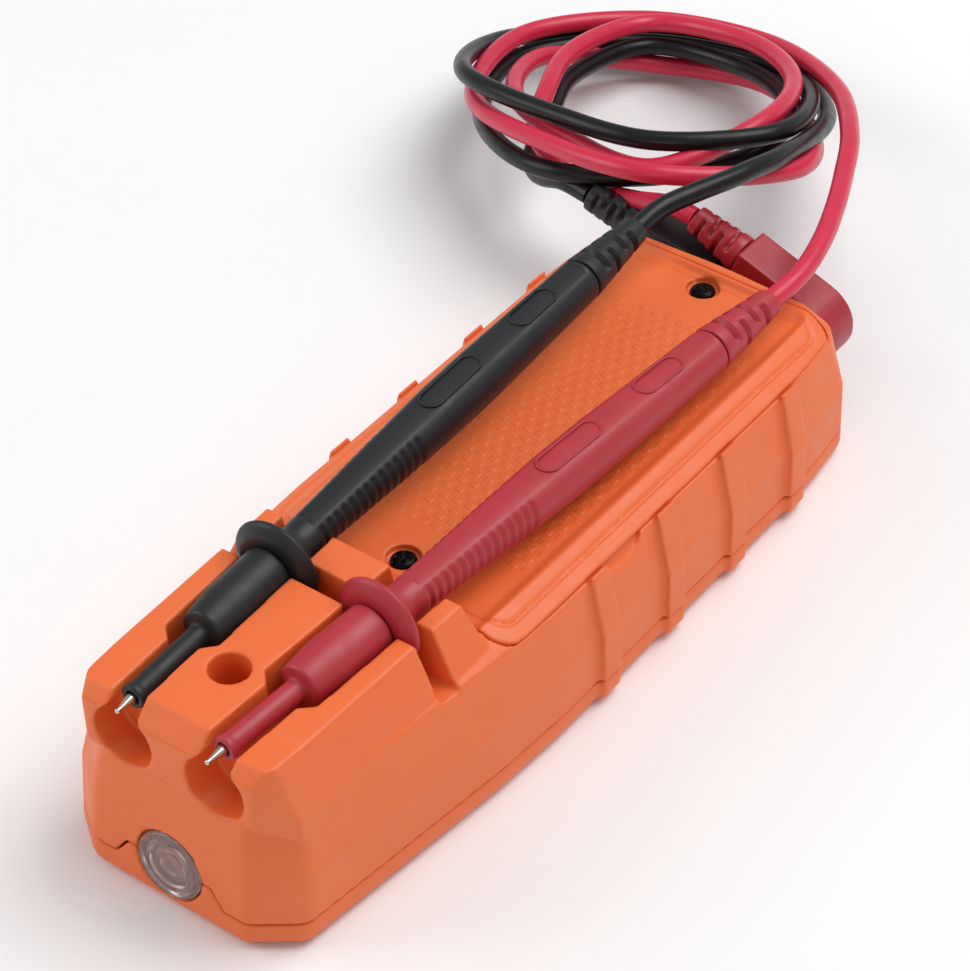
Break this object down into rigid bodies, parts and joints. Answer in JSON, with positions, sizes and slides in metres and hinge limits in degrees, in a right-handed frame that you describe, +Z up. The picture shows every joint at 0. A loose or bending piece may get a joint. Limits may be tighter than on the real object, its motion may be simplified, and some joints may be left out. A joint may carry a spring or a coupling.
{
  "type": "voltage tester",
  "caption": "Handheld two-lead voltage tester lying on its front, with test probes stowed in a holder on its back, a screwed battery door, a nose torch and plugged-in coiled leads.",
  "frame": {"origin": "middle of the flat front panel that the tester lies on", "axes": "+Z up out of the back of the case, -Y towards the nose with the torch, +Y towards the lead sockets, +X to the side of the red probe"},
  "size_m": [0.1377, 0.2814, 0.0498],
  "materials": {
    "orange_case": "moulded orange ABS, fine matt texture",
    "black_grip": "moulded black, soft matt",
    "red_grip": "moulded red, soft matt",
    "black_plug": "moulded black PVC",
    "red_plug": "moulded red PVC",
    "black_lead": "smooth satin jacket",
    "red_lead": "smooth satin jacket",
    "nickel_steel": "nickel plated",
    "brass": "turned brass",
    "black_screw": "black oxide",
    "clear_lens": "clear moulded lens, faint pink",
    "led": "clear epoxy",
    "front_panel": "printed film, no print",
    "light_diffuser": "milky diffuser",
    "grey_button": "soft grey key",
    "circuit_board": "green solder mask",
    "dark_plastic": "moulded black",
    "battery_jacket": "plain printed sleeve"
  },
  "bodies": {
    "root": {"rear_case": "orange_case", "front_case": "orange_case", "battery_door": "orange_case", "door_screw_front": "black_screw", "door_screw_rear": "black_screw", "front_label": "front_panel", "light_bar": "light_diffuser", "torch_lens": "clear_lens", "circuit_board": "circuit_board", "button_switch": "dark_plastic", "buzzer": "dark_plastic", "indicator_light_1": "led", "indicator_light_2": "led", "indicator_light_3": "led", "indicator_light_4": "led", "indicator_light_5": "led", "indicator_light_6": "led", "battery_1": "battery_jacket", "battery_2": "battery_jacket", "battery_bridge": "nickel_steel", "battery_leaf_left": "nickel_steel", "battery_leaf_right": "nickel_steel", "torch_led": "led", "black_socket": "brass", "red_socket": "brass", "case_screw_nose": "black_screw", "case_screw_rear_left": "black_screw", "case_screw_rear_right": "black_screw", "black_lead_probe_end": "black_lead", "black_lead_plug_end": "black_lead", "red_lead_probe_end": "red_lead", "red_lead_plug_end": "red_lead", "lead_coil": "red_lead"},
    "button": {"push_button": "grey_button"},
    "black_probe": {"black_probe_handle": "black_grip", "black_probe_cap": "black_grip", "black_probe_rod": "nickel_steel", "black_probe_boot": "black_grip"},
    "black_plug": {"black_plug_elbow": "black_plug", "black_plug_shroud": "black_plug", "black_plug_pin": "brass", "black_plug_boot": "black_plug"},
    "red_probe": {"red_probe_handle": "red_grip", "red_probe_cap": "red_grip", "red_probe_rod": "nickel_steel", "red_probe_boot": "red_grip"},
    "red_plug": {"red_plug_elbow": "red_plug", "red_plug_shroud": "red_plug", "red_plug_pin": "brass", "red_plug_boot": "red_plug"}
  },
  "joints": [
    {"name": "button_press", "type": "slide", "parent": "root", "child": "button", "axis": [0, 0, 1], "range_m": [0, 0.0008], "stiffness_N_per_m": 120, "springref_m": -0.001},
    {"name": "black_probe_lift", "type": "slide", "parent": "root", "child": "black_probe", "axis": [0, 0, 1], "range_m": [0, 0.03], "deforming": ["black_lead_probe_end"]},
    {"name": "red_probe_lift", "type": "slide", "parent": "root", "child": "red_probe", "axis": [0, 0, 1], "range_m": [0, 0.03], "deforming": ["red_lead_probe_end"]},
    {"name": "black_plug_pull", "type": "slide", "parent": "root", "child": "black_plug", "axis": [0, 1, 0], "range_m": [0, 0.019], "deforming": ["black_lead_plug_end", "lead_coil"]},
    {"name": "red_plug_pull", "type": "slide", "parent": "root", "child": "red_plug", "axis": [0, 1, 0], "range_m": [0, 0.019], "deforming": ["red_lead_plug_end", "lead_coil"]}
  ]
}
